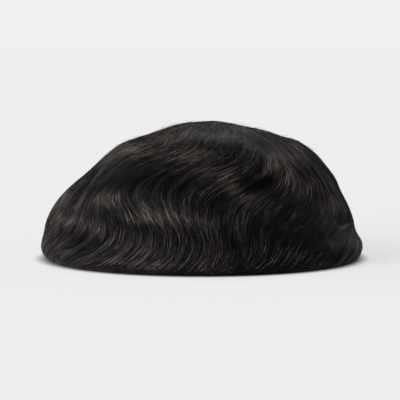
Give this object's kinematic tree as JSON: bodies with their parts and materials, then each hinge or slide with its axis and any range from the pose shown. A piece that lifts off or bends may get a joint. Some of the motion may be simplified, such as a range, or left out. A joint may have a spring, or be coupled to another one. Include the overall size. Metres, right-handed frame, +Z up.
{
  "type": "toupee hairpiece",
  "caption": "Men's toupee standing on its tips: a hollow dome of dark, wavy hair in S-shaped locks, over a thin oval base cap that is open below for the head.",
  "frame": {"origin": "middle of the footprint, on the surface that the hair's tips stand on", "axes": "+Z up to the crown, +X from the front hairline to the back of the head, +Y to the side away from the picture's view"},
  "size_m": [0.2682, 0.208, 0.114],
  "materials": {
    "base_lace": "fine dark net, matt",
    "hair": "off-black human hair, soft sheen along the strands"
  },
  "bodies": {
    "root": {"base_cap": "base_lace", "hair": "hair"}
  },
  "joints": []
}
